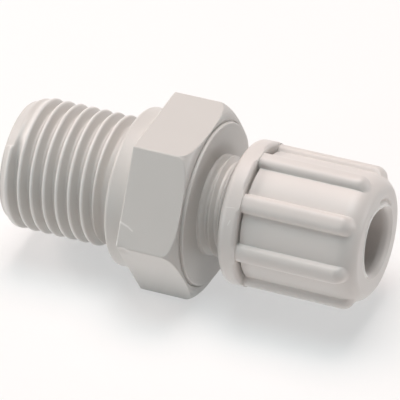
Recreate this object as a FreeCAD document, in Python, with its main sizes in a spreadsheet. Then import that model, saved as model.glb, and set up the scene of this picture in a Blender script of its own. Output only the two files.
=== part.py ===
import FreeCAD, Part
import math
import os
import Sketcher

# Straight screw-in tube coupling: a moulded body with a parallel pipe thread, a hexagon and a hose nipple,
# and the ribbed union nut that clamps the tube on the nipple.
# Frame: the axis is X, with the thread tip towards -X and the nut towards +X. The origin lies on the axis in
# the plane of the collar's sealing face. Two flats of the hexagon are level, and the part lies on the lower one.

SIZES = [
    # pipe thread G 1/4, cut right-handed along the barrel
    ("thread_diameter", 13.157, "outer diameter of the pipe thread"),
    ("thread_pitch", 1.337, "19 threads to the inch"),
    ("thread_length", 12.0, "thread tip to sealing face"),
    ("thread_lead", 1.655, "start of the first groove beyond the tip, which sets where the crests lie"),
    ("tip_chamfer", 0.8, "length of the lead-in at the thread tip"),
    ("tip_step", 0.75, "radial depth of the lead-in"),
    ("relief_width", 1.3, "smooth groove between thread and collar"),
    ("relief_clearance", 0.07, "how much deeper the smooth groove is than the thread"),
    ("groove_gap", 0.02, "end of the thread's groove to the collar's face"),
    # collar, hexagon and seat for the nut
    ("collar_diameter", 15.8, "sealing collar"),
    ("collar_width", 2.14, "sealing face to hexagon"),
    ("collar_bevel", 0.3, "bevelled rim of the collar"),
    ("hex_flats", 17.0, "spanner size"),
    ("hex_width", 6.0, "length of the hexagon"),
    ("hex_corner_round", 0.25, "rounded long edges of the hexagon"),
    ("hex_chamfer_slope", 24.0, "chamfer of the corners, degrees from the end plane"),
    ("seat_diameter", 16.14, "raised round seat on the end of the hexagon"),
    ("seat_height", 0.32, "how far the seat stands up"),
    ("seat_bevel", 0.14, "bevelled rim of the seat"),
    ("seat_margin", 0.12, "ring of flat end left between seat and chamfer"),
    # neck and nipple inside the nut
    ("neck_diameter", 10.0, "over the crests of the fine thread M10 x 1"),
    ("neck_length", 8.2, "seat to end of the neck"),
    ("neck_chamfer", 0.5, "lead-in of the neck"),
    ("nipple_root_diameter", 4.8, "cone that spreads the tube"),
    ("nipple_tip_diameter", 4.2, "end of the nipple, for a tube of 4 mm bore"),
    ("nipple_length", 3.8, "end of the neck to end of the nipple"),
    ("nipple_bevel", 0.2, "bevelled end of the nipple"),
    # way through the body
    ("barrel_bore", 7.0, "wide bore from the thread end"),
    ("barrel_bore_depth", 14.0, "depth of the wide bore"),
    ("nipple_bore", 2.8, "narrow bore through neck and nipple"),
    ("bore_cone_length", 2.1, "cone between the two bores"),
    # union nut
    ("nut_gap", 2.9, "seat to the nut's flange, as far as the nut is screwed on"),
    ("nut_length", 13.85, "flange face to end"),
    ("nut_diameter", 12.6, "plain outside between the ribs"),
    ("nut_end_reach", 2.1, "start of the nut's first end bevel to its end"),
    ("nut_end_break", 0.55, "start of the second, steeper bevel to the end"),
    ("nut_end_fall", 0.5, "radial fall of the first bevel"),
    ("nut_end_step", 1.25, "radial fall of both bevels"),
    ("flange_diameter", 14.3, "flange of the nut"),
    ("flange_width", 2.0, "width of the flange"),
    ("flange_bevel", 0.6, "bevelled rim of the flange"),
    ("rib_count", 8.0, "grip ribs"),
    ("rib_width", 1.85, "width of a rib at its foot"),
    ("rib_diameter", 14.1, "across the tops of two opposite ribs"),
    ("rib_nose_length", 1.15, "start of a rib's slope to the end of the nut"),
    ("rib_nose_round", 1.15, "rounded start of the slope"),
    ("rib_end_gap", 0.35, "foot of the slope to the end of the nut, inside the bevels"),
    ("rib_edge_bevel", 0.35, "bevelled long edges of a rib"),
    ("thread_clearance", 0.05, "radial running clearance between neck and nut"),
    ("chamber_depth", 6.3, "depth of the nut's wide bore"),
    ("chamber_chamfer", 0.4, "lead-in at the flange"),
    ("clamp_diameter", 8.4, "wide end of the cone that clamps the tube"),
    ("clamp_length", 3.2, "length of the clamping cone"),
    ("mouth_diameter", 6.2, "hole for a tube of 6 mm outside diameter"),
    ("mouth_rim_diameter", 7.2, "outer edge of the mouth's countersink"),
    ("mouth_rim_depth", 0.6, "depth of the mouth's countersink"),
]

# Depth and crest of the pipe thread, as shares of its pitch
THREAD_DEPTH_SHARE = 0.640327
CREST_SHARE = "1 / 6"
# How far the groove's outline stands out of the barrel
CUTTER_OVERLAP = 0.2
# Two places nearer than this are the same
SAME_PLACE = 1e-4

doc = FreeCAD.newDocument("straight_pipe_coupling")

sheet = doc.addObject("Spreadsheet::Sheet", "Sizes")
for row, (name, value, note) in enumerate(SIZES, start=1):
    sheet.set(f"A{row}", name)
    sheet.set(f"B{row}", str(value))
    sheet.set(f"C{row}", note)
    sheet.setAlias(f"B{row}", name)
doc.recompute()


def bound(text):
    """An expression written in the sheet's names, with each name led to its cell."""
    for name in sorted((entry[0] for entry in SIZES), key=len, reverse=True):
        text = text.replace("<" + name + ">", "Sizes." + name)
    return text


def value_of(text):
    """The present value of such an expression."""
    return float(sheet.evalExpression(bound(text)))


def plane(body, role):
    """One of the body's own origin planes."""
    return next(feature for feature in body.Origin.OriginFeatures if feature.Role == role)


def sketch_on(body, name, role):
    sketch = body.newObject("Sketcher::SketchObject", name)
    sketch.AttachmentSupport = (plane(body, role), [""])
    sketch.MapMode = "FlatFace"
    return sketch


def outline(sketch, corners):
    """A closed outline of straight lines, each corner a pair of expressions measured from the origin."""
    points = [FreeCAD.Vector(value_of(along), value_of(out), 0) for along, out in corners]
    edges = [
        sketch.addGeometry(Part.LineSegment(points[index - 1], point), False)
        for index, point in enumerate(points)
    ]
    for index, edge in enumerate(edges):
        following = edges[(index + 1) % len(edges)]
        sketch.addConstraint(Sketcher.Constraint("Coincident", edge, 2, following, 1))
        place_point(sketch, "DistanceX", edge, 2, corners[index][0])
        place_point(sketch, "DistanceY", edge, 2, corners[index][1])


def place_point(sketch, kind, edge, point, text):
    """One coordinate of a point of an edge, bound to its expression."""
    if text == "0":
        axis = -2 if kind == "DistanceX" else -1
        sketch.addConstraint(Sketcher.Constraint("PointOnObject", edge, point, axis))
        return
    number = sketch.addConstraint(Sketcher.Constraint(kind, -1, 1, edge, point, value_of(text)))
    sketch.setExpression(f"Constraints[{number}]", bound(text))


def turned(body, kind, name, sketch):
    """A full turn of the sketch about the body's X axis: Revolution adds it, Groove cuts it."""
    feature = body.newObject("PartDesign::" + kind, name)
    feature.Profile = sketch
    feature.ReferenceAxis = (sketch, ["H_Axis"])
    feature.Angle = 360
    doc.recompute()
    return feature


def rounded(body, name, base, edges, radius):
    """A fillet on the named edges of the base feature."""
    fillet = body.newObject("PartDesign::Fillet", name)
    fillet.Base = (base, edges)
    fillet.Radius = value_of(radius)
    fillet.setExpression("Radius", bound(radius))
    doc.recompute()
    return fillet


# Body: barrel with the pipe thread, collar, hexagon, seat, neck and nipple, moulded in one piece
coupling_body = doc.addObject("PartDesign::Body", "coupling_body")
coupling_body.Label = "coupling_body"

HEX_END = "<collar_width> + <hex_width>"
SEAT = HEX_END + " + <seat_height>"
NECK_END = SEAT + " + <neck_length>"
NIPPLE_END = NECK_END + " + <nipple_length>"
THREAD_RADIUS = "<thread_diameter> / 2"
THREAD_DEPTH = f"{THREAD_DEPTH_SHARE} * <thread_pitch>"
RELIEF_RADIUS = f"{THREAD_RADIUS} - {THREAD_DEPTH} - <relief_clearance>"

blank_outline = sketch_on(coupling_body, "blank_outline", "XY_Plane")
outline(blank_outline, [
    ("-<thread_length>", "0"),
    ("-<thread_length>", THREAD_RADIUS + " - <tip_step>"),
    ("-<thread_length> + <tip_chamfer>", THREAD_RADIUS),
    ("-<relief_width>", THREAD_RADIUS),
    ("-<relief_width>", RELIEF_RADIUS),
    ("0", RELIEF_RADIUS),
    ("0", "<collar_diameter> / 2 - <collar_bevel>"),
    ("<collar_bevel>", "<collar_diameter> / 2"),
    (HEX_END, "<collar_diameter> / 2"),
    (HEX_END, "<seat_diameter> / 2"),
    (SEAT + " - <seat_bevel>", "<seat_diameter> / 2"),
    (SEAT, "<seat_diameter> / 2 - <seat_bevel>"),
    (SEAT, "<neck_diameter> / 2"),
    (NECK_END + " - <neck_chamfer>", "<neck_diameter> / 2"),
    (NECK_END, "<neck_diameter> / 2 - <neck_chamfer>"),
    (NECK_END, "<nipple_root_diameter> / 2"),
    (NIPPLE_END + " - <nipple_bevel>", "<nipple_tip_diameter> / 2"),
    (NIPPLE_END, "<nipple_tip_diameter> / 2 - <nipple_bevel>"),
    (NIPPLE_END, "0"),
])
blank = turned(coupling_body, "Revolution", "blank", blank_outline)

# The hexagon is drawn on the YZ plane with two level flats, and stands between collar and seat
hex_outline = sketch_on(coupling_body, "hex_outline", "YZ_Plane")
outline(hex_outline, [
    ("<hex_flats> / (2 * cos(30 deg))", "0"),
    ("<hex_flats> / (4 * cos(30 deg))", "<hex_flats> / 2"),
    ("-<hex_flats> / (4 * cos(30 deg))", "<hex_flats> / 2"),
    ("-<hex_flats> / (2 * cos(30 deg))", "0"),
    ("-<hex_flats> / (4 * cos(30 deg))", "-<hex_flats> / 2"),
    ("<hex_flats> / (4 * cos(30 deg))", "-<hex_flats> / 2"),
])
hex_outline.AttachmentOffset.Base.z = value_of("<collar_width>")
hex_outline.setExpression("AttachmentOffset.Base.z", bound("<collar_width>"))
hexagon = coupling_body.newObject("PartDesign::Pad", "hexagon")
hexagon.Profile = hex_outline
hexagon.Length = value_of("<hex_width>")
hexagon.setExpression("Length", bound("<hex_width>"))
doc.recompute()

corner_lines = [
    f"Edge{number}"
    for number, edge in enumerate(hexagon.Shape.Edges, start=1)
    if isinstance(edge.Curve, Part.Line)
    and abs(edge.BoundBox.XLength - value_of("<hex_width>")) < SAME_PLACE
    and math.hypot(edge.CenterOfMass.y, edge.CenterOfMass.z) > value_of("<hex_flats> / 2")
]
hex_corners = rounded(coupling_body, "hex_corners", hexagon, corner_lines, "<hex_corner_round>")

# One cone turned off the corners of the hexagon, down to a narrow ring of flat end round the seat
CONE_FOOT = "<seat_diameter> / 2 + <seat_margin>"
CONE_REACH = "<hex_flats> / (2 * cos(30 deg))"
CONE_START = f"{HEX_END} - ({CONE_REACH} - {CONE_FOOT}) * tan(<hex_chamfer_slope> * 1 deg)"
cone_outline = sketch_on(coupling_body, "cone_outline", "XY_Plane")
outline(cone_outline, [
    (HEX_END, CONE_FOOT),
    (CONE_START, CONE_REACH),
    (HEX_END, CONE_REACH),
])
hex_cone = turned(coupling_body, "Groove", "hex_cone", cone_outline)

# The wide bore from the thread end, a cone, and the narrow bore out of the nipple
bore_outline = sketch_on(coupling_body, "bore_outline", "XY_Plane")
outline(bore_outline, [
    ("-<thread_length>", "0"),
    ("-<thread_length>", "<barrel_bore> / 2"),
    ("<barrel_bore_depth> - <thread_length>", "<barrel_bore> / 2"),
    ("<barrel_bore_depth> + <bore_cone_length> - <thread_length>", "<nipple_bore> / 2"),
    (NIPPLE_END, "<nipple_bore> / 2"),
    (NIPPLE_END, "0"),
])
bores = turned(coupling_body, "Groove", "bores", bore_outline)

# The groove between two crests: it starts beyond the tip and runs out in the smooth relief at the collar
HALF_GROOVE = f"<thread_pitch> * (1 - {CREST_SHARE}) / 2"
HALF_TOP = f"({HALF_GROOVE}) * (1 + {CUTTER_OVERLAP} / ({THREAD_DEPTH}))"
FIRST_GROOVE = "-<thread_length> - <thread_lead>"
groove_outline = sketch_on(coupling_body, "groove_outline", "XY_Plane")
outline(groove_outline, [
    (f"{FIRST_GROOVE} - {HALF_TOP}", f"{THREAD_RADIUS} + {CUTTER_OVERLAP}"),
    (FIRST_GROOVE, f"{THREAD_RADIUS} - {THREAD_DEPTH}"),
    (f"{FIRST_GROOVE} + {HALF_TOP}", f"{THREAD_RADIUS} + {CUTTER_OVERLAP}"),
])
GROOVE_TRAVEL = f"<thread_length> + <thread_lead> - {HALF_TOP} - <groove_gap>"
pipe_thread = coupling_body.newObject("PartDesign::SubtractiveHelix", "pipe_thread")
pipe_thread.Profile = groove_outline
pipe_thread.ReferenceAxis = (groove_outline, ["H_Axis"])
pipe_thread.Mode = "pitch-height-angle"
pipe_thread.Pitch = value_of("<thread_pitch>")
pipe_thread.setExpression("Pitch", bound("<thread_pitch>"))
pipe_thread.Height = value_of(GROOVE_TRAVEL)
pipe_thread.setExpression("Height", bound(GROOVE_TRAVEL))
pipe_thread.LeftHanded = False
doc.recompute()
coupling_body.Tip = pipe_thread
doc.recompute()

# Union nut, drawn from its flange face at 0 to its end, and placed as far on as it is screwed
union_nut = doc.addObject("PartDesign::Body", "union_nut")
union_nut.Label = "union_nut"
NUT_PLACE = SEAT + " + <nut_gap>"
union_nut.setExpression("Placement.Base.x", bound(NUT_PLACE))

# One rib, drawn from the side, with a sloped nose that runs into the rounded end of the nut
RIB_START = "<flange_width> / 2"
RIB_FOOT = "(<neck_diameter> / 2 + <thread_clearance> + <nut_diameter> / 2) / 2"
RIB_TOP = "<rib_diameter> / 2"
RIB_NOSE = "<nut_length> - <rib_nose_length>"
rib_outline = sketch_on(union_nut, "rib_outline", "XZ_Plane")
outline(rib_outline, [
    (RIB_START, RIB_FOOT),
    ("<nut_length> - <rib_end_gap>", "<nut_diameter> / 2 - <nut_end_step>"),
    (RIB_NOSE, RIB_TOP),
    (RIB_START, RIB_TOP),
])
rib = union_nut.newObject("PartDesign::Pad", "rib")
rib.Profile = rib_outline
rib.Midplane = True
rib.Length = value_of("<rib_width>")
rib.setExpression("Length", bound("<rib_width>"))
doc.recompute()

rib_nose_line = [
    f"Edge{number}"
    for number, edge in enumerate(rib.Shape.Edges, start=1)
    if abs(edge.BoundBox.XMin - value_of(RIB_NOSE)) < SAME_PLACE
    and abs(edge.BoundBox.ZMin - value_of(RIB_TOP)) < SAME_PLACE
]
rib_nose = rounded(union_nut, "rib_nose", rib, rib_nose_line, "<rib_nose_round>")
rib_top_lines = [
    f"Edge{number}"
    for number, edge in enumerate(rib_nose.Shape.Edges, start=1)
    if abs(edge.BoundBox.ZMin - value_of(RIB_TOP)) < SAME_PLACE
    and edge.BoundBox.XLength > value_of("<nut_length> / 2")
]
rib_edges = union_nut.newObject("PartDesign::Chamfer", "rib_edges")
rib_edges.Base = (rib_nose, rib_top_lines)
rib_edges.Size = value_of("<rib_edge_bevel>")
rib_edges.setExpression("Size", bound("<rib_edge_bevel>"))
doc.recompute()
rib_edges.SupportTransform = True
ribs = union_nut.newObject("PartDesign::PolarPattern", "ribs")
ribs.Originals = [rib_edges]
ribs.Axis = (plane(union_nut, "X_Axis"), [""])
ribs.Angle = 360
ribs.Occurrences = int(value_of("<rib_count>"))
ribs.setExpression("Occurrences", bound("<rib_count>"))
union_nut.Tip = ribs
doc.recompute()

# The turned shape that carries them: flange, rounded end, mouth, clamping cone and wide bore
BORE_RADIUS = "<neck_diameter> / 2 + <thread_clearance>"
nut_outline = sketch_on(union_nut, "nut_outline", "XY_Plane")
outline(nut_outline, [
    ("0", BORE_RADIUS + " + <chamber_chamfer>"),
    ("0", "<flange_diameter> / 2 - <flange_bevel>"),
    ("<flange_bevel>", "<flange_diameter> / 2"),
    ("<flange_width>", "<flange_diameter> / 2"),
    ("<flange_width>", "<nut_diameter> / 2"),
    ("<nut_length> - <nut_end_reach>", "<nut_diameter> / 2"),
    ("<nut_length> - <nut_end_break>", "<nut_diameter> / 2 - <nut_end_fall>"),
    ("<nut_length>", "<nut_diameter> / 2 - <nut_end_step>"),
    ("<nut_length>", "<mouth_rim_diameter> / 2"),
    ("<nut_length> - <mouth_rim_depth>", "<mouth_diameter> / 2"),
    ("<chamber_depth> + <clamp_length>", "<mouth_diameter> / 2"),
    ("<chamber_depth>", "<clamp_diameter> / 2"),
    ("<chamber_depth>", BORE_RADIUS),
    ("<chamber_chamfer>", BORE_RADIUS),
])
nut_shell = turned(union_nut, "Revolution", "nut_shell", nut_outline)
union_nut.Tip = nut_shell
doc.recompute()

sub_parts = [coupling_body, union_nut]
problems = [f"{item.Name}: {item.State}" for item in doc.Objects if "Invalid" in item.State or "Error" in item.State]
for sub_part in sub_parts:
    if sub_part.Shape.isNull() or not sub_part.Shape.isValid():
        problems.append(f"{sub_part.Label}: shape")
if problems:
    raise RuntimeError("; ".join(problems))

os.makedirs("parts", exist_ok=True)
for sub_part in sub_parts:
    sub_part.Shape.exportStep(os.path.join("parts", sub_part.Label + ".step"))
    box = sub_part.Shape.BoundBox
    print(sub_part.Label, "solids", len(sub_part.Shape.Solids), "volume", round(sub_part.Shape.Volume, 2),
          "x", round(box.XMin, 2), round(box.XMax, 2))
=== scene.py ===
import math

import bmesh
import bpy
import numpy as np
from mathutils import Matrix, Vector


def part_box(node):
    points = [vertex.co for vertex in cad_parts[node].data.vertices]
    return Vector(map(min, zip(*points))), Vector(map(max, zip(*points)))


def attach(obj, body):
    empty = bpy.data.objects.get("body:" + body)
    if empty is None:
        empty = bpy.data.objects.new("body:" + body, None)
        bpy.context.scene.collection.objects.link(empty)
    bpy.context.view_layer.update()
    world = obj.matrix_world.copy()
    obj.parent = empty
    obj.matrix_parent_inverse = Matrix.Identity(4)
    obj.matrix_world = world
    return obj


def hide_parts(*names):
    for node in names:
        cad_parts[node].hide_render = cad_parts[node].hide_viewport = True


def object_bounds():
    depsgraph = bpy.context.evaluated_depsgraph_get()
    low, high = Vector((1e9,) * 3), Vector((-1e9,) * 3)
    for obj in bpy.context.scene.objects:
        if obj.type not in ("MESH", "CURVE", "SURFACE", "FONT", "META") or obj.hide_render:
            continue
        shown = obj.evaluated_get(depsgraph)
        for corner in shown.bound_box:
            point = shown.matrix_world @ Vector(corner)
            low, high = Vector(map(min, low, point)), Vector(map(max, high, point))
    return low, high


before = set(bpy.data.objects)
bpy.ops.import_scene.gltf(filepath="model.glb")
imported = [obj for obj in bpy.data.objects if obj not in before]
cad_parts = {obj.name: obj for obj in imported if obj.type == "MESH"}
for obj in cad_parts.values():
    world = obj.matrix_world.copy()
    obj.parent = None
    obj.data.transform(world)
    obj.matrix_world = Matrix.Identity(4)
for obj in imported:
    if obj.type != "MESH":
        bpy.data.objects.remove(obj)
cad_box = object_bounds()
MM = 0.001

# Camera: it looks down on the fitting from the side of the union nut, through a long lens. The fitting's
# axis falls to the right in the picture, and its nut end comes a little nearer. The lens's own frame has X to
# the right, Y down the picture and Z away from it, and Blender's camera has Y and Z turned round.
LENS_MM = 360.0
SENSOR_MM = 36.0
SEEN_ORIGIN = Vector((-6.11, -1.39, 388.67)) * MM
AXIS_NEARER = math.radians(20.0)
AXIS_FALL = math.radians(13.04)
TOP_TURN = math.radians(38.7)

# The fitting's X, Y and Z as the lens sees them
seen_x = Vector((
    math.cos(AXIS_NEARER) * math.cos(AXIS_FALL),
    math.cos(AXIS_NEARER) * math.sin(AXIS_FALL),
    -math.sin(AXIS_NEARER),
))
square = Vector((-math.sin(AXIS_FALL), math.cos(AXIS_FALL), 0))
beyond = seen_x.cross(square)
seen_z = -math.cos(TOP_TURN) * square - math.sin(TOP_TURN) * beyond
seen_y = seen_z.cross(seen_x)
to_lens = Matrix((seen_x, seen_y, seen_z)).transposed()
to_camera = Matrix(((1, 0, 0), (0, -1, 0), (0, 0, -1))) @ to_lens

camera = bpy.data.objects.new("camera", bpy.data.cameras.new("camera"))
camera_place = -(to_lens.transposed() @ SEEN_ORIGIN)
camera.matrix_world = Matrix.Translation(camera_place) @ to_camera.transposed().to_4x4()
camera.data.lens = LENS_MM
camera.data.sensor_width = SENSOR_MM
bpy.context.scene.collection.objects.link(camera)
bpy.context.scene.camera = camera

# Coupling body: one moulding in light warm grey polypropylene. It is a turned form apart from its hexagon,
# with a coarse pipe thread on the barrel, a fine thread on the neck for the nut, and a stepped way through
# all of it. Places are in mm along the axis, and radii in mm from it.
body_low, body_high = (np.array(corner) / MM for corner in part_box("coupling_body"))
TIP = body_low[0]
NIPPLE_END = body_high[0]
HEX_APOTHEM = body_high[2]

# Pipe thread. On the +Y side a crest would lie the lead before the tip. Its start is an angle from +Y, and
# has a step of so many degrees each way.
THREAD_RADIUS = 6.5785
THREAD_PITCH = 1.337
CREST_LEAD = 0.9865
TIP_RADIUS = 5.83
TIP_CONE = 0.8
LONG_TIP_CONE = 1.3
TIP_ROUND = 0.15
THREAD_START = math.radians(131.8)
START_STEP = 0.7
FAINT_GROOVE = 0.25
RELIEF_WIDTH = 1.3
RELIEF_RADIUS = 5.65
BLEND = 0.03

# Collar, hexagon with domed corners, and the raised seat for the nut
COLLAR_RADIUS = 7.9
COLLAR_WIDTH = 2.14
HEX_END = 8.14
HEX_CORNER_ROUND = 0.25
FLAT_START = COLLAR_WIDTH + 0.4
DOME_START = 6.9
DOME_FOOT = 8.27
SEAT_RADIUS = 8.07
SEAT_GROOVE = 0.15
SEAT_FILLET = 0.15
SEAT = 8.46

# Neck, with a crest of its thread at the named place on the +Y side, then the nipple and the way through
NECK_RADIUS = 5.0
NECK_PITCH = 1.0
NECK_CREST = 9.18
NECK_START = 8.75
NECK_END = 16.66
NECK_CONE = 0.5
NIPPLE_ROOT = 2.4
NIPPLE_TIP = 2.1
NARROW_BORE = 1.4
WIDE_BORE = 3.5
WIDE_BORE_END = 2.0
BORE_CONE = 2.1


def rounded_line(corners, radii, arc_steps=6, hold=0.04):
    """A line through the corners with each inner corner replaced by an arc of its radius.

    The arc's centre lies on the bisector at radius / sin(half the inside angle), and each point of the arc is
    centre + radius * (-cos(a) along the bisector + sin(a) across it), with a from minus to plus half the
    turn. An arc takes up at most 0.45 of the stretch on each side. A support point just outside each of its
    ends, at most 0.05 of the stretch away, keeps the straight part flat in smooth shading.
    """
    line = [corners[0]]
    for before, here, after, radius in zip(corners, corners[1:], corners[2:], radii):
        back, ahead = before - here, after - here
        long_back = np.linalg.norm(back, axis=-1, keepdims=True)
        long_ahead = np.linalg.norm(ahead, axis=-1, keepdims=True)
        back, ahead = back / long_back, ahead / long_ahead
        half = np.arccos(np.clip((back * ahead).sum(-1, keepdims=True), -1, 1)) / 2
        reach = np.minimum(radius / np.tan(half), 0.45 * np.minimum(long_back, long_ahead))
        rho = reach * np.tan(half)
        middle = (back + ahead) / np.maximum(2 * np.cos(half), 1e-9)
        across = (ahead - back) / (2 * np.sin(half))
        centre = here + middle * rho / np.sin(half)
        line.append(here + back * (reach + np.minimum(hold, 0.05 * long_back)))
        for share in np.linspace(-1, 1, arc_steps + 1):
            turn = (np.pi / 2 - half) * share
            line.append(centre + rho * (across * np.sin(turn) - middle * np.cos(turn)))
        line.append(here + ahead * (reach + np.minimum(hold, 0.05 * long_ahead)))
    return np.array(line + [corners[-1]])


def profile(columns, *corners):
    """Corners (place along the axis, radius) for each column. Either may be one number or one per column."""
    return np.array([
        np.stack([np.broadcast_to(along, columns.shape), np.broadcast_to(out, columns.shape)], -1)
        for along, out in corners
    ], float)


def rounded_profile(columns, *corners, arc_steps=6):
    """A profile with rounded corners. All corners but the first and last have the radius as a third value."""
    radii = [corner[2] for corner in corners[1:-1]]
    return rounded_line(profile(columns, *(corner[:2] for corner in corners)), radii, arc_steps)


def soft_less(first, second, width):
    """The lesser of two values, rounded off where they cross: (a + b - sqrt((a - b)^2 + width^2)) / 2."""
    return (first + second - np.sqrt((first - second) ** 2 + width ** 2)) / 2


def soft_more(first, second, width):
    """The greater of two values, rounded off where they cross: (a + b + sqrt((a - b)^2 + width^2)) / 2."""
    return (first + second + np.sqrt((first - second) ** 2 + width ** 2)) / 2


def closed_piece(name, sheets, columns):
    """One mesh from sheets of (place along the axis, radius), each a grid of rows by columns about the axis.

    A grid point is (s, r cos w, r sin w), with the angle w from +Y towards +Z. Points that meet are merged.
    """
    points, quads, first = [], [], 0
    for sheet in sheets:
        along, out = sheet[..., 0], sheet[..., 1]
        grid = np.stack([along, out * np.cos(columns), out * np.sin(columns)], -1)
        points.append(grid.reshape(-1, 3))
        number = first + np.arange(along.size).reshape(along.shape)
        faces = np.stack([number[:-1, :-1], number[:-1, 1:], number[1:, 1:], number[1:, :-1]], -1)
        quads.append(faces.reshape(-1, 4))
        first += along.size
    mesh = bpy.data.meshes.new(name)
    mesh.from_pydata((np.concatenate(points) * MM).tolist(), [], np.concatenate(quads).tolist())
    merge_meeting_points(mesh)
    mesh.polygons.foreach_set("use_smooth", [True] * len(mesh.polygons))
    piece = bpy.data.objects.new(name, mesh)
    bpy.context.scene.collection.objects.link(piece)
    return piece


def merge_meeting_points(mesh, distance=0.0015 * MM):
    """Merges the points where sheets meet, at the seam and where thread rows run out against a ring."""
    shell = bmesh.new()
    shell.from_mesh(mesh)
    bmesh.ops.remove_doubles(shell, verts=shell.verts, dist=distance)
    bmesh.ops.dissolve_degenerate(shell, dist=distance / 10, edges=shell.edges)
    shell.to_mesh(mesh)
    shell.free()


# Half the angle that a hexagon's rounded corner takes up, seen from the axis
CORNER_REACH = math.pi / 6 - math.atan((1 - HEX_CORNER_ROUND / HEX_APOTHEM) * math.tan(math.pi / 6))


def hexagon_radius(columns):
    """Radius of a hexagon with rounded corners: apothem / cos(angle from the flat's middle).

    Near a corner it is the far side of a circle of the corner's radius, whose centre lies
    (apothem - radius) / cos 30 from the axis."""
    off = np.abs((columns + np.pi / 6) % (np.pi / 3) - np.pi / 6)
    centre = (HEX_APOTHEM - HEX_CORNER_ROUND) / math.cos(math.pi / 6)
    arc = centre * np.cos(off) + np.sqrt(np.maximum(HEX_CORNER_ROUND ** 2 - (centre * np.sin(off)) ** 2, 0))
    return np.where(off < CORNER_REACH, arc, HEX_APOTHEM / np.cos(np.pi / 6 - off))


def thread_rows(crest, depth, half_angle, rounding, arc_steps, flank_steps):
    """Heights of one thread's profile over one pitch, as (share of the pitch, height above the root).

    Crest and root are arcs of the rounding, cut where the flanks touch them, joined by straight flanks."""
    reach = math.pi / 2 - half_angle
    turn = np.linspace(0, reach, arc_steps + 1)
    crest_line = np.stack([crest + rounding * np.sin(turn), depth - rounding * (1 - np.cos(turn))], -1)
    root = crest + flank_run(depth, half_angle, rounding) + 2 * rounding * math.sin(reach)
    root_line = np.stack([root - rounding * np.sin(turn), rounding * (1 - np.cos(turn))], -1)[::-1]
    shares = np.linspace(0, 1, flank_steps + 1)[1:-1, None]
    flank = crest_line[-1] * (1 - shares) + root_line[0] * shares
    half = np.concatenate([crest_line, flank, root_line])
    if crest > 0:
        half = np.concatenate([[[0, depth]], half])
    if half[-1, 0] < 0.5 - 1e-6:
        half = np.concatenate([half, [[0.5, 0]]])
    return np.concatenate([half[:0:-1] * (-1, 1), half[:-1]])


def flank_run(depth, half_angle, rounding):
    """How far the straight flank runs along the axis, between the arcs of crest and root."""
    return (depth - 2 * rounding * (1 - math.sin(half_angle))) * math.tan(half_angle)


def threaded(low, high, pitch, crest_place, rows, core, columns, shape):
    """A threaded stretch, whose rows follow the helix s = crest place + pitch * (turn + share + w / 2 pi).

    Where rows leave the stretch they run out against its end rings, and shape(s, r) is the radius there."""
    first_turn = math.floor((low - crest_place) / pitch) - 2
    last_turn = math.ceil((high - crest_place) / pitch) + 2
    share = (np.arange(first_turn, last_turn)[:, None] + rows[:, 0]).ravel()
    along = np.clip(crest_place + pitch * (share[:, None] + columns / (2 * np.pi)), low, high)
    phase = ((along - crest_place) / pitch - columns / (2 * np.pi) + 0.5) % 1 - 0.5
    shares, heights = np.append(rows[:, 0], rows[0, 0] + 1), np.append(rows[:, 1], rows[0, 1])
    out = core + pitch * np.interp(phase, shares, heights)
    return np.stack([along, shape(along, out)], -1)


# A column of points every 2.5 degrees, with more of them at the hexagon's corners, across the marks on it and
# on both sides of the thread's start
corner_columns = CORNER_REACH * np.array([0.35, 0.7, 1.0])
corner_columns = np.append(corner_columns, CORNER_REACH + math.radians(0.3))
corner_columns = np.concatenate([-corner_columns, corner_columns])
body_columns = np.unique(np.concatenate([
    np.linspace(0, 2 * np.pi, 145),
    ((np.arange(7) * np.pi / 3)[:, None] + corner_columns).ravel(),
    np.radians(np.arange(163.3, 189, 0.9)),
    THREAD_START + np.radians([-START_STEP, START_STEP]),
]).round(9))
body_columns = body_columns[(body_columns >= 0) & (body_columns <= 2 * np.pi)]
body_columns[0], body_columns[-1] = 0, 2 * np.pi

# Both threads, with their lengths as shares of the pitch
WHITWORTH = {"depth": 0.640327, "half_angle": math.radians(27.5), "rounding": 0.137329}
pipe_rows = thread_rows(0.0, **WHITWORTH, arc_steps=3, flank_steps=2)
METRIC = {"depth": 0.53, "half_angle": math.radians(30.0), "rounding": 0.05}
neck_rows = thread_rows(0.03, **METRIC, arc_steps=2, flank_steps=1)

# How far the groove is open, by how many mm its middle lies beyond the thread's start, and how much of the
# tip's cone is the long one, by degrees beyond the start
GROOVE_OPENS = (-0.45, -0.3, -0.03, 0.07), (0, FAINT_GROOVE, FAINT_GROOVE, 1)
LONG_CONE_FADES = (-START_STEP, START_STEP, 80, 220), (1, 0, 0, 1)


def barrel_shape(along, out):
    """The thread under the tip's cone, and down the last flank into the smooth relief.

    The thread starts with a small step on the cone. Before it the cone is longer and the groove only a faint
    line, a third of a turn long. A groove's middle is the place less pitch * (share of the turn - 1/2)."""
    share = ((along - TIP + CREST_LEAD) / THREAD_PITCH - body_columns / (2 * np.pi)) % 1
    start = TIP - CREST_LEAD + THREAD_PITCH * (1.5 + THREAD_START / (2 * np.pi))
    opened = np.interp(along - THREAD_PITCH * (share - 0.5) - start, *GROOVE_OPENS)
    out = THREAD_RADIUS - (THREAD_RADIUS - out) * opened
    before = np.interp(np.degrees(body_columns - THREAD_START), *LONG_CONE_FADES)
    length = TIP_CONE + (LONG_TIP_CONE - TIP_CONE) * before
    cone = TIP_RADIUS + (along - TIP) * (THREAD_RADIUS - TIP_RADIUS) / length
    run_out = RELIEF_RADIUS + np.maximum(-RELIEF_WIDTH - along, 0) / math.tan(WHITWORTH["half_angle"])
    return soft_less(soft_less(out, cone, 2 * BLEND), run_out, BLEND)


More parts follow.
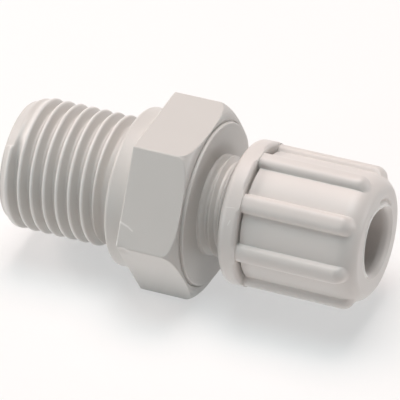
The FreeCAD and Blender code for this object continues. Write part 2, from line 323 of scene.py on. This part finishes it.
def neck_shape(along, out):
    """The fine thread, filled near the seat where its groove runs out, and under a cone at the neck's end."""
    fill = NECK_RADIUS - np.maximum(along - NECK_START, 0) / math.tan(METRIC["half_angle"])
    cone = NECK_RADIUS - NECK_CONE + (NECK_END - along)
    return soft_less(soft_more(out, fill, BLEND), soft_less(cone, NECK_RADIUS, BLEND), BLEND)


barrel_core = THREAD_RADIUS - WHITWORTH["depth"] * THREAD_PITCH
barrel = threaded(
    TIP + TIP_ROUND, 0, THREAD_PITCH, TIP - CREST_LEAD, pipe_rows, barrel_core, body_columns, barrel_shape)
neck_core = NECK_RADIUS - METRIC["depth"] * NECK_PITCH
neck = threaded(
    SEAT + SEAT_FILLET, NECK_END, NECK_PITCH, NECK_CREST, neck_rows, neck_core, body_columns, neck_shape)
hexagon = hexagon_radius(body_columns)


def dome(share):
    """The corners' rounding: radius = foot + (corner - foot) cos(a), place = start + (end - start) sin(a).

    The share runs from 0, where the dome leaves the flats and corners, to 1 at its foot."""
    stands_out = hexagon.max() - DOME_FOOT
    first = np.arccos((hexagon - DOME_FOOT) / stands_out)
    angle = first + (np.pi / 2 - first) * share
    return DOME_START + (HEX_END - DOME_START) * np.sin(angle), DOME_FOOT + stands_out * np.cos(angle)


# Marks near one corner of the hexagon: a low step towards the corner, and a dent beside it. The step's line
# has places along the axis and then distances from the flat's middle.
MARKED_END = COLLAR_WIDTH + 2.6
MARKED_FLAT = math.radians(150)
STEP_LINE = (2.07, 3.05, 3.59, 4.4), (2.41, 2.73, 3.05, 3.8)
STEP_HEIGHT = 0.05
STEP_RISE = 0.12
STEP_FALL = 0.9
STEP_END = 4.4
STEP_END_FALL = 1.2
DENT_PLACE = 2.85
DENT_ANGLE = math.radians(182.4)
DENT_REACH = 0.5
DENT_DEPTH = 0.2
COLLAR_MARGIN = 0.2
COLLAR_FADE = 0.3


def marked(sheet):
    """The hexagon with its marks, which fade out towards the collar.

    The step stands beyond its line on the flat, where a point's distance from the flat's middle is
    apothem * tan(angle from the middle). The dent is a bell, depth * exp(-(distance / reach)^2)."""
    along, out = sheet[..., 0], sheet[..., 1]
    across = HEX_APOTHEM * np.tan(np.clip(body_columns - MARKED_FLAT, -math.pi / 6, math.pi / 6))
    past_line = across - np.interp(along, *STEP_LINE)
    step = STEP_HEIGHT * np.clip(past_line / STEP_RISE, 0, 1) * np.exp(-np.maximum(past_line, 0) / STEP_FALL)
    step = step * np.clip((STEP_END - along) / STEP_END_FALL, 0, 1) * (body_columns < math.pi)
    off = (along - DENT_PLACE) ** 2 + (out * (body_columns - DENT_ANGLE)) ** 2
    dent = DENT_DEPTH * np.exp(-off / DENT_REACH ** 2)
    on_hexagon = np.clip((out - COLLAR_RADIUS - COLLAR_MARGIN) / COLLAR_FADE, 0, 1)
    return np.stack([along, out + (step - dent) * on_hexagon], -1)


collar = marked(rounded_profile(
    body_columns,
    (0, barrel[-1, :, 1]),
    (0, COLLAR_RADIUS, 0.4),
    (COLLAR_WIDTH, COLLAR_RADIUS, 0.15),
    (COLLAR_WIDTH, hexagon, 0.2),
    (FLAT_START, hexagon),
))
flat_places = np.linspace(FLAT_START, MARKED_END, 18)
flats = marked(profile(body_columns, *((along, hexagon) for along in flat_places)))
rim = rounded_profile(
    body_columns,
    (MARKED_END, hexagon),
    (*dome(0), 0.25),
    dome(0.3),
)
corners = profile(body_columns, *(dome(share) for share in np.linspace(0.3, 1, 12)))
seat = rounded_profile(
    body_columns,
    (HEX_END, DOME_FOOT),
    (HEX_END - SEAT_GROOVE, (DOME_FOOT + SEAT_RADIUS) / 2, 0.03),
    (HEX_END - SEAT_GROOVE, SEAT_RADIUS, 0.03),
    (SEAT, SEAT_RADIUS, 0.14),
    (SEAT, neck[0, :, 1], SEAT_FILLET),
    (SEAT + SEAT_FILLET, neck[0, :, 1]),
)
inside = rounded_profile(
    body_columns,
    (NECK_END, neck[-1, :, 1]),
    (NECK_END, NIPPLE_ROOT, 0.15),
    (NIPPLE_END, NIPPLE_TIP, 0.3),
    (NIPPLE_END, NARROW_BORE, 0.2),
    (WIDE_BORE_END + BORE_CONE, NARROW_BORE, 0.1),
    (WIDE_BORE_END, WIDE_BORE, 0.1),
    (TIP, WIDE_BORE, 0.15),
    (TIP, barrel[0, :, 1], TIP_ROUND),
    (TIP + TIP_ROUND, barrel[0, :, 1]),
    arc_steps=4,
)
body_sheets = [barrel, collar, flats, rim, corners, seat, neck, inside]
coupling = closed_piece("coupling_moulding", body_sheets, body_columns)


def linear(hex_colour):
    """An sRGB hex colour as linear RGBA: c / 12.92 up to 0.04045, and ((c + 0.055) / 1.055)^2.4 above it."""
    srgb = [int(hex_colour[i:i + 2], 16) / 255 for i in (0, 2, 4)]
    return [c / 12.92 if c <= 0.04045 else ((c + 0.055) / 1.055) ** 2.4 for c in srgb] + [1]


def add_node(tree, kind, settings, links):
    """A node of that kind with its settings, and with the named inputs linked to other nodes' outputs."""
    node = tree.nodes.new(kind)
    for name, value in settings.items():
        if isinstance(name, int) or name in node.inputs:
            node.inputs[name].default_value = value
        else:
            setattr(node, name, value)
    for name, output in links.items():
        tree.links.new(output, node.inputs[name])
    return node


def scuff_and_highlight_mask(tree, place, whitening_marks):
    """Each mark's strength on its line, falling to 0 at its half width. A mark is a scuff, where the plastic
    has turned whiter, or a painted highlight.

    A mark is (start, end, half width, strength), in mm, and a strength over 1 keeps its middle wholly white.
    The distance is to the segment's nearest point, at the share dot(offset, way) / way^2 of the way."""
    mask = None
    for start, end, half_width, strength in whitening_marks:
        start, way = Vector(start) * MM, (Vector(end) - Vector(start)) * MM
        offset = add_node(tree, "ShaderNodeVectorMath", {"operation": "SUBTRACT", 1: start}, {0: place})
        offset = offset.outputs["Vector"]
        share = add_node(tree, "ShaderNodeVectorMath",
                         {"operation": "DOT_PRODUCT", 1: way / way.length_squared}, {0: offset})
        share = add_node(tree, "ShaderNodeClamp", {}, {"Value": share.outputs["Value"]})
        nearest = add_node(tree, "ShaderNodeVectorMath", {"operation": "SCALE", 0: way},
                           {"Scale": share.outputs[0]})
        distance = add_node(tree, "ShaderNodeVectorMath", {"operation": "DISTANCE"},
                            {0: offset, 1: nearest.outputs["Vector"]})
        stroke = add_node(tree, "ShaderNodeMapRange",
                         {"From Max": half_width * MM, "To Min": strength, "To Max": 0.0},
                         {"Value": distance.outputs["Value"]}).outputs["Result"]
        mask = stroke if mask is None else add_node(
            tree, "ShaderNodeMath", {"operation": "MAXIMUM"}, {0: mask, 1: stroke}).outputs[0]
    return mask


def painted_crest_highlight_mask(tree, place, low_mm, high_mm):
    """A painted highlight: 0 up to the low radius about the X axis, rising to the highlight's share at the
    high one.

    It holds only behind the origin, by the factor -x / mm kept between 0 and 1."""
    across = add_node(tree, "ShaderNodeVectorMath", {"operation": "MULTIPLY", 1: (0, 1, 1)}, {0: place})
    radius = add_node(tree, "ShaderNodeVectorMath", {"operation": "LENGTH"}, {0: across.outputs["Vector"]})
    crest = add_node(tree, "ShaderNodeMapRange",
                     {"From Min": low_mm * MM, "From Max": high_mm * MM, "To Max": CREST_HIGHLIGHT_SHARE},
                     {"Value": radius.outputs["Value"]})
    behind = add_node(tree, "ShaderNodeVectorMath",
                      {"operation": "DOT_PRODUCT", 1: (-1 / MM, 0, 0)}, {0: place})
    behind = add_node(tree, "ShaderNodeClamp", {}, {"Value": behind.outputs["Value"]})
    return add_node(tree, "ShaderNodeMath", {"operation": "MULTIPLY"},
                    {0: crest.outputs[0], 1: behind.outputs[0]}).outputs[0]


# The plastic's colour and gloss vary over some millimetres. The grain that its spark-eroded mould gives it is
# finer than this on the real piece, and is drawn as coarse as it has to be to show. A scuff or painted
# highlight at strength 1 stands up by twice the grain's height. Scuffs and painted highlights share one
# whiter colour.
CLOUD_MM = 6.0
LEAST_ROUGHNESS = 0.36
MOST_ROUGHNESS = 0.42
GRAIN_MM = 0.12
GRAIN_HEIGHT_MM = 0.02
GRAIN_STRENGTH = 0.12
SCUFF_AND_HIGHLIGHT_RISE = 2.0
# Share of the whiter colour in the painted highlight on the pipe thread's crests
CREST_HIGHLIGHT_SHARE = 0.6
# The whiter colour of scuffs and of painted highlights
WEAR_AND_HIGHLIGHT_COLOUR = "F2F0ED"
POLYPROPYLENE_IOR = 1.49


def moulded_plastic(name, pale, deep, whitening_marks, crest_highlight_mm=None):
    """Injection-moulded polypropylene: slightly cloudy colour, satin skin with a fine grain, and a few
    scuffs, where the plastic has turned whiter, and painted highlights in the same whiter colour.

    Behind the origin it may also have a painted highlight, paler from the first to the second of two radii
    about the X axis, which paints the pipe thread's light crests and its tip's cone."""
    material = bpy.data.materials.new(name)
    material.use_nodes = True
    tree = material.node_tree
    shader = tree.nodes["Principled BSDF"]
    place = add_node(tree, "ShaderNodeTexCoord", {}, {}).outputs["Object"]
    cloud = add_node(tree, "ShaderNodeTexNoise",
                     {"Scale": 1 / (CLOUD_MM * MM), "Detail": 3.0}, {"Vector": place})
    grain = add_node(tree, "ShaderNodeTexNoise",
                     {"Scale": 1 / (GRAIN_MM * MM), "Detail": 2.0}, {"Vector": place})
    tint = add_node(tree, "ShaderNodeMix", {"data_type": "RGBA"}, {"Factor": cloud.outputs["Fac"]})
    tint.inputs["A"].default_value = linear(pale)
    tint.inputs["B"].default_value = linear(deep)
    satin = add_node(tree, "ShaderNodeMapRange", {"To Min": LEAST_ROUGHNESS, "To Max": MOST_ROUGHNESS},
                     {"Value": cloud.outputs["Fac"]})
    wear_and_highlights = scuffs_and_highlights = scuff_and_highlight_mask(tree, place, whitening_marks)
    if crest_highlight_mm:
        crest_highlight = painted_crest_highlight_mask(tree, place, *crest_highlight_mm)
        wear_and_highlights = add_node(tree, "ShaderNodeMath", {"operation": "MAXIMUM"}, {0: scuffs_and_highlights, 1: crest_highlight}).outputs[0]
    whitened = add_node(tree, "ShaderNodeMix", {"data_type": "RGBA"}, {"Factor": wear_and_highlights})
    tree.links.new(tint.outputs["Result"], whitened.inputs["A"])
    whitened.inputs["B"].default_value = linear(WEAR_AND_HIGHLIGHT_COLOUR)
    height = add_node(tree, "ShaderNodeMath", {"operation": "MULTIPLY_ADD", 1: SCUFF_AND_HIGHLIGHT_RISE},
                      {0: scuffs_and_highlights, 2: grain.outputs["Fac"]})
    bump = add_node(tree, "ShaderNodeBump", {"Strength": GRAIN_STRENGTH, "Distance": GRAIN_HEIGHT_MM * MM},
                    {"Height": height.outputs[0]})
    tree.links.new(whitened.outputs["Result"], shader.inputs["Base Color"])
    tree.links.new(satin.outputs["Result"], shader.inputs["Roughness"])
    tree.links.new(bump.outputs["Normal"], shader.inputs["Normal"])
    shader.inputs["IOR"].default_value = POLYPROPYLENE_IOR
    return material


# Two scuffs along the step on the hexagon, a painted highlight on the hexagon's left edge beside its dent,
# and a scuff on the thread's first turn
body_scuffs_and_highlight = (
    ((2.1, -8.566, 2.163), (3.05, -8.726, 1.886), 0.14, 0.7),
    ((3.05, -8.726, 1.886), (3.59, -8.886, 1.609), 0.12, 0.7),
    # A painted highlight on the hexagon's left edge
    ((2.2, -9.536, 0.483), (2.2, -9.72, 0.16), 0.15, 0.7),
    ((-11.78, -4.075, 4.54), (-10.94, -4.32, 4.856), 0.1, 0.7),
)
# Radii of the painted highlight on the pipe thread's crests and the tip's cone
CREST_HIGHLIGHT_RADII = (6.38, 6.56)
coupling.data.materials.append(
    moulded_plastic("moulded_polypropylene_body", "D2CFCB", "CCC9C5", body_scuffs_and_highlight, CREST_HIGHLIGHT_RADII))
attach(coupling, "body")
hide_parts("coupling_body")

# Union nut: the second moulding, in the same plastic, screwed onto the body's neck. Eight grip ribs run from
# its flange into the rounded end, where the tube goes in, and narrow notches undercut the flange between
# them. Inside it has a wide chamber and the cone that clamps the tube.
nut_low, nut_high = (np.array(corner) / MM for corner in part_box("union_nut"))
NUT_START, NUT_END = nut_low[0], nut_high[0]
FLANGE_RADIUS = nut_high[2]
FLANGE_END = NUT_START + 2.0
PANEL_START = FLANGE_END + 0.9
NUT_RADIUS = 6.3
END_REACH = 2.1
END_RADIUS = 5.05
CHAMBER_RADIUS = 5.05
CHAMBER_CHAMFER = 0.4
CHAMBER_END = NUT_START + 6.3
CLAMP_RADIUS = 4.2
CLAMP_END = CHAMBER_END + 3.2

RIB_COUNT = 8
RIB_TOP = 7.05
RIB_HALF = 0.92
RIB_FULLNESS = 2.8
RIB_FOOT = 0.08
NOSE_START = NUT_END - 1.15
NOSE_END = NUT_END - 0.35
NOSE_ROUND = 1.15
NOSE_BULGE = 0.35
NOSE_BLEND = 0.12

# Columns of points, first for one rib's share of the nut, close together on the rib and at its foot, and then
# for all the ribs
half_period = NUT_RADIUS * math.pi / RIB_COUNT
side = np.concatenate([
    RIB_HALF * np.sin(np.linspace(0, np.pi / 2, 12)),
    RIB_HALF + RIB_FOOT * np.array([0.25, 0.5, 0.75, 1.0, 1.4]),
    np.linspace(RIB_HALF + RIB_FOOT, half_period, 7)[2:],
])
side = np.concatenate([-side[:0:-1], side])[:-1]
nut_columns = ((np.arange(RIB_COUNT) * 2 * half_period)[:, None] + side).ravel()
nut_columns = np.append(nut_columns, nut_columns[0] + 2 * half_period * RIB_COUNT) / NUT_RADIUS
off_rib = np.abs((nut_columns * NUT_RADIUS + half_period) % (2 * half_period) - half_period)


def rib_shape(off):
    """A rib's height as a share of its top: a full arch, (1 - (off / half width)^fullness)^(1/2), with a
    small fillet at its foot that falls as the square of what is left of it."""
    arch = np.sqrt(np.maximum(1 - (off / RIB_HALF) ** RIB_FULLNESS, 0))
    left = np.clip(1 - (off - RIB_HALF) / RIB_FOOT, 0, 1)
    return np.maximum(arch, left ** 2 * RIB_FOOT / (RIB_TOP - NUT_RADIUS))


# The line of a rib's top, which bends down at its nose and goes on inside the nut
rib_share = rib_shape(off_rib)
nose_corners = np.array([
    (FLANGE_END - 1, RIB_TOP),
    (NOSE_START, RIB_TOP),
    (NOSE_END, END_RADIUS),
    (NOSE_END + 1, END_RADIUS - 2.5),
])
nose = rounded_line(nose_corners[:, None], (NOSE_ROUND, 0.01), arc_steps=16)[:, 0]


def nut_skin(along, base):
    """The nut's outside: base radius plus the rib's height there, times the share of it at each column.

    The height is the rib's top line, which turns down to the end and does so sooner at the rib's sides, less
    the base radius, and never under zero."""
    sooner = along[:, None] + NOSE_BULGE * np.minimum(off_rib / RIB_HALF, 1) ** 2
    height = soft_more(np.interp(sooner, nose[:, 0], nose[:, 1]) - base[:, None], 0, NOSE_BLEND)
    out = base[:, None] + height * rib_share
    return np.stack([np.broadcast_to(along[:, None], out.shape), out], -1)


# The panels run straight to the end's quarter ellipse, and only the mouth's lip stands further out than that
LIP_WIDTH = 0.15
LIP_HEIGHT = 0.1
end_face = NUT_END - LIP_HEIGHT
end_turn = np.linspace(0, math.pi / 2, 33)
panel_places = np.linspace(PANEL_START, end_face - END_REACH, 6)[:-1]
skin = nut_skin(
    np.concatenate([panel_places, end_face - END_REACH + END_REACH * np.sin(end_turn)]),
    np.concatenate([
        np.full(len(panel_places), NUT_RADIUS),
        END_RADIUS + (NUT_RADIUS - END_RADIUS) * np.cos(end_turn),
    ]),
)

# Behind the flange a notch undercuts each panel's start. One is deeper than the others, by a bell over the
# angle. The flange's rounding is tight at the ribs and grows wide between them.
NOTCH_WIDTH = 0.12
NOTCH_DEPTH = 0.5
NOTCH_LEAN = 0.2
NOTCH_EDGE = 0.03
DEEP_NOTCH = math.radians(67.5)
DEEP_NOTCH_REACH = 0.4
DEEP_NOTCH_EXTRA = 0.5
DEEP_NOTCH_WIDER = 1.5
RIB_FLANGE_ROUND = 0.15
PANEL_FLANGE_ROUND = 0.4
ROUND_FROM = 0.4
ROUND_OVER = 0.8
off_the_ribs = 1 - np.minimum(rib_share * 3, 1)
deeper = np.exp(-((nut_columns - DEEP_NOTCH) / DEEP_NOTCH_REACH) ** 2)
notch = NOTCH_DEPTH * off_the_ribs * (1 + DEEP_NOTCH_EXTRA * deeper)
notch_width = NOTCH_WIDTH * (1 + DEEP_NOTCH_WIDER * deeper)
beside = np.clip((off_rib - ROUND_FROM) / ROUND_OVER, 0, 1)
wide_share = (beside ** 2 * (3 - 2 * beside))[:, None]
flange_round = RIB_FLANGE_ROUND + (PANEL_FLANGE_ROUND - RIB_FLANGE_ROUND) * wide_share
flange = rounded_profile(
    nut_columns,
    (NUT_START + CHAMBER_CHAMFER, CHAMBER_RADIUS),
    (NUT_START, CHAMBER_RADIUS + CHAMBER_CHAMFER, 0.08),
    (NUT_START, FLANGE_RADIUS, 0.95),
    (FLANGE_END, FLANGE_RADIUS, flange_round),
    (FLANGE_END - NOTCH_LEAN * notch, skin[0, :, 1] - notch, 0.03),
    (FLANGE_END + notch_width, skin[0, :, 1] - notch, 0.03),
    (FLANGE_END + notch_width + NOTCH_EDGE, skin[0, :, 1], 0.05),
    (PANEL_START, skin[0, :, 1]),
)

# The flat end, with a shallow crescent pressed into it beside the mouth. The mouth's rim is a little out of
# round, with its radius in mm at some angles in degrees, and gets round further in.
MOUTH_RADIUS = 3.1
RIM_ANGLES = (26, 50, 74, 95, 110, 121, 135, 153, 170, 189, 210, 237, 263, 292, 328)
RIM_RADII = (3.70, 3.50, 3.42, 3.70, 3.98, 4.10, 4.04, 3.87, 3.73, 3.60, 3.55, 3.58, 3.66, 3.66, 3.68)
RIM_SHARE = 0.3
RIM_SLOPE_END = 0.3
ROUND_MOUTH_START = 0.75
CRESCENT_RADIUS = 4.02
CRESCENT_WIDTH = 0.13
CRESCENT_DEPTH = 0.3
CRESCENT_MIDDLE = math.radians(54)
CRESCENT_HALF = math.radians(26)
mouth_rim = np.interp(np.degrees(nut_columns), RIM_ANGLES, RIM_RADII, period=360)
lip_foot = mouth_rim + LIP_WIDTH
face_share = np.concatenate([[0, 0.3, 0.55], np.linspace(0.65, 1, 10)])[:, None]
face_out = skin[-1, :, 1] * (1 - face_share) + lip_foot * face_share
off_middle = (nut_columns - CRESCENT_MIDDLE + np.pi) % (2 * np.pi) - np.pi
around = np.clip(1 - off_middle ** 2 / CRESCENT_HALF ** 2, 0, 1)
pressed = CRESCENT_DEPTH * np.sqrt(around) * np.exp(-((face_out - CRESCENT_RADIUS) / CRESCENT_WIDTH) ** 2)
face = np.stack([end_face - pressed, face_out], -1)
mouth = rounded_profile(
    nut_columns,
    (face[-1, :, 0], lip_foot),
    (NUT_END, lip_foot - 0.05, 0.08),
    (NUT_END, mouth_rim, 0.05),
    (NUT_END - RIM_SLOPE_END, RIM_SHARE * mouth_rim + (1 - RIM_SHARE) * MOUTH_RADIUS, 0.6),
    (NUT_END - ROUND_MOUTH_START, MOUTH_RADIUS, 1.5),
    (CLAMP_END, MOUTH_RADIUS, 0.2),
    (CHAMBER_END, CLAMP_RADIUS, 0.1),
    (CHAMBER_END, CHAMBER_RADIUS, 0.1),
    (NUT_START + CHAMBER_CHAMFER, CHAMBER_RADIUS),
    arc_steps=4,
)
nut = closed_piece("nut_moulding", [flange, skin, face, mouth], nut_columns)

# Two short scuffs on the flange, and a painted highlight along most of the mouth's lip
lip_highlight_angles = np.radians(np.arange(46, 215, 12))
lip_highlight_radii = np.interp(lip_highlight_angles, nut_columns, mouth_rim) + LIP_WIDTH / 2
lip_highlight_line = [
    (NUT_END, radius * math.cos(angle), radius * math.sin(angle))
    for angle, radius in zip(lip_highlight_angles, lip_highlight_radii)
]
nut_scuffs_and_lip_highlight = (
    ((12.645, -6.266, 3.443), (12.467, -6.478, 3.026), 0.08, 0.7),
    ((11.824, -5.63, 4.408), (12.827, -5.566, 4.488), 0.06, 0.7),
    # A painted highlight along the mouth's lip, wholly white in its middle
    *((start, end, 0.26, 1.4) for start, end in zip(lip_highlight_line, lip_highlight_line[1:])),
)
nut.data.materials.append(moulded_plastic("moulded_polypropylene_nut", "DED9D5", "D8D3CF", nut_scuffs_and_lip_highlight))
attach(nut, "nut")
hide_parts("union_nut")

# Floor: a pale matt board that the fitting lies on. It keeps the fitting's shadow and turns to plain white
# further out, and the fitting's satin skin mirrors it as white. A small gap keeps it out of the plane of the
# hexagon's lower flat.
FLOOR_HALF = 1.5
FLOOR_GAP = 0.02 * MM
NEAR_REACH = 0.05
FAR_REACH = 0.3
NEAR_WHITE = 0.5
floor_level = cad_box[0].z - FLOOR_GAP
floor_corners = [
    (x * FLOOR_HALF, y * FLOOR_HALF, floor_level)
    for x, y in ((-1, -1), (1, -1), (1, 1), (-1, 1))
]
floor_mesh = bpy.data.meshes.new("floor")
floor_mesh.from_pydata(floor_corners, [], [(0, 1, 2, 3)])
floor = bpy.data.objects.new("floor", floor_mesh)
bpy.context.scene.collection.objects.link(floor)

board = bpy.data.materials.new("pale_board")
board.use_nodes = True
board_tree = board.node_tree
matt = board_tree.nodes["Principled BSDF"]
matt.inputs["Base Color"].default_value = linear("F7F6F5")
matt.inputs["Roughness"].default_value = 0.8
white_board = add_node(board_tree, "ShaderNodeEmission", {"Strength": 1.0}, {})
board_rays = add_node(board_tree, "ShaderNodeLightPath", {}, {}).outputs
board_place = add_node(board_tree, "ShaderNodeTexCoord", {}, {}).outputs["Object"]
away = add_node(board_tree, "ShaderNodeVectorMath", {"operation": "LENGTH"}, {0: board_place})
plainer = add_node(board_tree, "ShaderNodeMapRange",
                   {"From Min": NEAR_REACH, "From Max": FAR_REACH, "To Min": NEAR_WHITE, "To Max": 1.0},
                   {"Value": away.outputs["Value"]})
direct = add_node(board_tree, "ShaderNodeMath", {"operation": "MULTIPLY"},
                  {0: board_rays["Is Camera Ray"], 1: plainer.outputs[0]})
mirrored = add_node(board_tree, "ShaderNodeMath", {"operation": "MAXIMUM"},
                    {0: board_rays["Is Glossy Ray"], 1: board_rays["Is Transmission Ray"]})
white_share = add_node(board_tree, "ShaderNodeMath", {"operation": "MAXIMUM"},
                       {0: direct.outputs[0], 1: mirrored.outputs[0]})
board_look = add_node(board_tree, "ShaderNodeMixShader", {},
                      {0: white_share.outputs[0], 1: matt.outputs[0], 2: white_board.outputs[0]})
board_tree.links.new(board_look.outputs[0], board_tree.nodes["Material Output"].inputs["Surface"])
floor.data.materials.append(board)

# Surround: a room that is white to the camera and in the fitting's satin skin, and that gives only a little
# light of its own
world = bpy.data.worlds.new("surround")
bpy.context.scene.world = world
world.use_nodes = True
room_tree = world.node_tree
room = room_tree.nodes["Background"]
room.inputs["Color"].default_value = linear("F6F8F8")
room.inputs["Strength"].default_value = 0.06
white_room = add_node(room_tree, "ShaderNodeBackground", {"Color": (1, 1, 1, 1), "Strength": 1.0}, {})
room_rays = add_node(room_tree, "ShaderNodeLightPath", {}, {}).outputs
seen_white = add_node(room_tree, "ShaderNodeMath", {"operation": "MAXIMUM"},
                      {0: room_rays["Is Camera Ray"], 1: room_rays["Is Glossy Ray"]})
seen_white = add_node(room_tree, "ShaderNodeMath", {"operation": "MAXIMUM"},
                      {0: seen_white.outputs[0], 1: room_rays["Is Transmission Ray"]})
room_look = add_node(room_tree, "ShaderNodeMixShader", {},
                     {0: seen_white.outputs[0], 1: room.outputs[0], 2: white_room.outputs[0]})
room_tree.links.new(room_look.outputs[0], room_tree.nodes["World Output"].inputs["Surface"])
bpy.context.scene.view_settings.view_transform = "Standard"

# Light: round soft boxes half a metre away. The strongest stands high at the back, so the upper faces are
# bright and the faces towards the camera stay grey. Each has its name, degrees above the floor, degrees round
# from +X, diameter in metres, watts and colour.
LIGHT_DISTANCE = 0.5
SOFT_BOXES = (
    ("overhead", 90, 0, 0.30, 1.08, "E8FBFF"),
    ("high_back", 71, 100, 0.30, 1.26, "FFE2DA"),
    ("left", 32, 180, 0.20, 1.05, "FFF0EA"),
    ("low_front", 8, 225, 0.13, 0.35, "E8FAFF"),
    ("low_right", 8, 20, 0.13, 0.40, "FFFFFF"),
    ("low_front_right", 8, 315, 0.13, 0.06, "F4FCFF"),
)
for name, height, round_x, size, watts, colour in SOFT_BOXES:
    height, round_x = math.radians(height), math.radians(round_x)
    lamp_place = LIGHT_DISTANCE * Vector((
        math.cos(height) * math.cos(round_x),
        math.cos(height) * math.sin(round_x),
        math.sin(height),
    ))
    lamp = bpy.data.objects.new(name, bpy.data.lights.new(name, "AREA"))
    lamp.data.shape = "DISK"
    lamp.data.size = size
    lamp.data.energy = watts
    lamp.data.color = linear(colour)[:3]
    facing = lamp_place.to_track_quat("Z", "Y").to_matrix().to_4x4()
    lamp.matrix_world = Matrix.Translation(lamp_place) @ facing
    bpy.context.scene.collection.objects.link(lamp)
